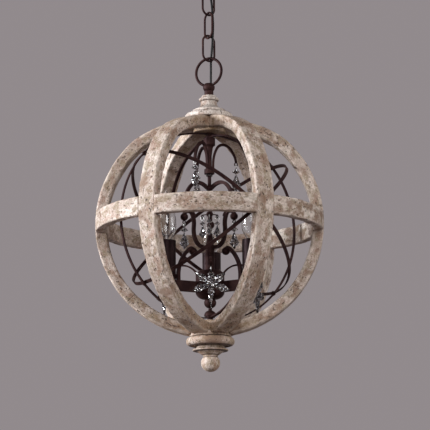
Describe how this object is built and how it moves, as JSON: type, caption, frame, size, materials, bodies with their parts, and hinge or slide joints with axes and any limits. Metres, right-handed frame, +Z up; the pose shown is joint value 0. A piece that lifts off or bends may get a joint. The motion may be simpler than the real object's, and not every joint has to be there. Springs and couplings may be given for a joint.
{
  "type": "chandelier",
  "caption": "Hanging globe chandelier of whitewashed wooden ribs with iron hoops, candle lights and crystals on a chain.",
  "frame": {"origin": "middle of the canopy's mounting face, where it meets the ceiling", "axes": "+Z up into the ceiling, the chain and the globe hang down along -Z; +X lies along rib_1"},
  "size_m": [0.4, 0.3998, 0.7505],
  "materials": {
    "whitewashed_wood": "distressed whitewash",
    "dark_iron": "oiled bronze",
    "plated_steel": "zinc",
    "candle_sleeve": "matte",
    "socket_shell": "matte",
    "brass_cap": "bright",
    "bulb_glass": "clear",
    "crystal": "clear faceted",
    "cord_jacket": "satin"
  },
  "bodies": {
    "canopy_mount": {"canopy": "dark_iron", "canopy_loop": "dark_iron", "canopy_crossbar": "plated_steel", "canopy_stud": "plated_steel", "cord_grommet": "socket_shell", "supply_cord_4": "cord_jacket"},
    "link_upper": {"chain_link_3": "dark_iron", "supply_cord_3": "cord_jacket"},
    "link_middle": {"chain_link_2": "dark_iron", "supply_cord_2": "cord_jacket"},
    "link_lower": {"chain_link_1": "dark_iron", "supply_cord_1": "cord_jacket"},
    "globe": {"rib_1": "whitewashed_wood", "rib_2": "whitewashed_wood", "rib_3": "whitewashed_wood", "rib_4": "whitewashed_wood", "rib_5": "whitewashed_wood", "rib_6": "whitewashed_wood", "equator_ring": "whitewashed_wood", "top_cap": "whitewashed_wood", "bottom_finial": "whitewashed_wood", "top_disc": "whitewashed_wood", "bottom_disc": "whitewashed_wood", "hoop_upright_1": "dark_iron", "hoop_tilted_1": "dark_iron", "hoop_tilted_2": "dark_iron", "hoop_upright_2": "dark_iron", "hoop_rivets": "dark_iron", "centre_rod": "dark_iron", "upper_column": "dark_iron", "stem_collars": "dark_iron", "lower_column": "dark_iron", "hub": "dark_iron", "ball_nut": "dark_iron", "dome_nut": "dark_iron", "top_hooks": "dark_iron", "upper_scrolls": "dark_iron", "lower_scrolls": "dark_iron", "candle_arms": "dark_iron", "crystal_hangers": "dark_iron", "candle_cups": "dark_iron", "fixture_loop": "dark_iron", "loop_knob": "dark_iron", "candle_sleeves": "candle_sleeve", "candle_sockets": "socket_shell", "bulb_bases": "brass_cap", "bulb_glasses": "bulb_glass", "stem_bead": "crystal"},
    "crystal_top_1_body": {"crystal_top_1": "crystal"},
    "crystal_curl_1_body": {"crystal_curl_1": "crystal"},
    "crystal_inner_1_body": {"crystal_inner_1": "crystal"},
    "crystal_star_1_body": {"crystal_star_1": "crystal"},
    "crystal_top_2_body": {"crystal_top_2": "crystal"},
    "crystal_curl_2_body": {"crystal_curl_2": "crystal"},
    "crystal_inner_2_body": {"crystal_inner_2": "crystal"},
    "crystal_star_2_body": {"crystal_star_2": "crystal"},
    "crystal_top_3_body": {"crystal_top_3": "crystal"},
    "crystal_curl_3_body": {"crystal_curl_3": "crystal"},
    "crystal_inner_3_body": {"crystal_inner_3": "crystal"},
    "crystal_star_3_body": {"crystal_star_3": "crystal"}
  },
  "joints": [
    {"name": "upper_link_swing", "type": "hinge", "parent": "canopy_mount", "child": "link_upper", "pos_m": [0, 0, -0.0672], "axis": [0.5736, -0.8192, 0], "range_deg": [-20, 20], "deforming": ["supply_cord_4"]},
    {"name": "middle_link_swing", "type": "hinge", "parent": "link_upper", "child": "link_middle", "pos_m": [0, 0, -0.1094], "axis": [0.8192, 0.5736, 0], "range_deg": [-20, 20], "deforming": ["supply_cord_3"]},
    {"name": "lower_link_swing", "type": "hinge", "parent": "link_middle", "child": "link_lower", "pos_m": [0, 0, -0.1521], "axis": [0.5736, -0.8192, 0], "range_deg": [-20, 20], "deforming": ["supply_cord_2"]},
    {"name": "globe_swing", "type": "hinge", "parent": "link_lower", "child": "globe", "pos_m": [0, 0, -0.1948], "axis": [0.8192, 0.5736, 0], "range_deg": [-20, 20], "deforming": ["supply_cord_1"]},
    {"name": "crystal_top_1_swing", "type": "hinge", "parent": "globe", "child": "crystal_top_1_body", "pos_m": [0.047, 0, -0.38861], "axis": [1, 0, 0], "range_deg": [-25, 25]},
    {"name": "crystal_curl_1_swing", "type": "hinge", "parent": "globe", "child": "crystal_curl_1_body", "pos_m": [0, 0.05, -0.49624], "axis": [0, 1, 0], "range_deg": [-25, 25]},
    {"name": "crystal_inner_1_swing", "type": "hinge", "parent": "globe", "child": "crystal_inner_1_body", "pos_m": [0.01299, 0.0075, -0.4801], "axis": [-0.5, 0.866, 0], "range_deg": [-18, 3]},
    {"name": "crystal_star_1_swing", "type": "hinge", "parent": "globe", "child": "crystal_star_1_body", "pos_m": [0.00461, -0.08788, -0.5851], "axis": [0.9986, 0.0523, 0], "range_deg": [-12, 12]},
    {"name": "crystal_top_2_swing", "type": "hinge", "parent": "globe", "child": "crystal_top_2_body", "pos_m": [-0.0235, 0.0407, -0.38861], "axis": [-0.5, 0.866, 0], "range_deg": [-25, 25]},
    {"name": "crystal_curl_2_swing", "type": "hinge", "parent": "globe", "child": "crystal_curl_2_body", "pos_m": [-0.0433, -0.025, -0.49624], "axis": [-0.866, -0.5, 0], "range_deg": [-25, 25]},
    {"name": "crystal_inner_2_swing", "type": "hinge", "parent": "globe", "child": "crystal_inner_2_body", "pos_m": [-0.01299, 0.0075, -0.4801], "axis": [-0.5, -0.866, 0], "range_deg": [-18, 3]},
    {"name": "crystal_star_2_swing", "type": "hinge", "parent": "globe", "child": "crystal_star_2_body", "pos_m": [0.08159, 0.03297, -0.5851], "axis": [-0.3746, 0.9272, 0], "range_deg": [-12, 12]},
    {"name": "crystal_top_3_swing", "type": "hinge", "parent": "globe", "child": "crystal_top_3_body", "pos_m": [-0.0235, -0.0407, -0.38861], "axis": [-0.5, -0.866, 0], "range_deg": [-25, 25]},
    {"name": "crystal_curl_3_swing", "type": "hinge", "parent": "globe", "child": "crystal_curl_3_body", "pos_m": [0.0433, -0.025, -0.49624], "axis": [0.866, -0.5, 0], "range_deg": [-25, 25]},
    {"name": "crystal_inner_3_swing", "type": "hinge", "parent": "globe", "child": "crystal_inner_3_body", "pos_m": [0, -0.015, -0.4801], "axis": [1, 0, 0], "range_deg": [-18, 3]},
    {"name": "crystal_star_3_swing", "type": "hinge", "parent": "globe", "child": "crystal_star_3_body", "pos_m": [-0.08159, 0.03297, -0.5851], "axis": [-0.3746, -0.9272, 0], "range_deg": [-12, 12]}
  ]
}
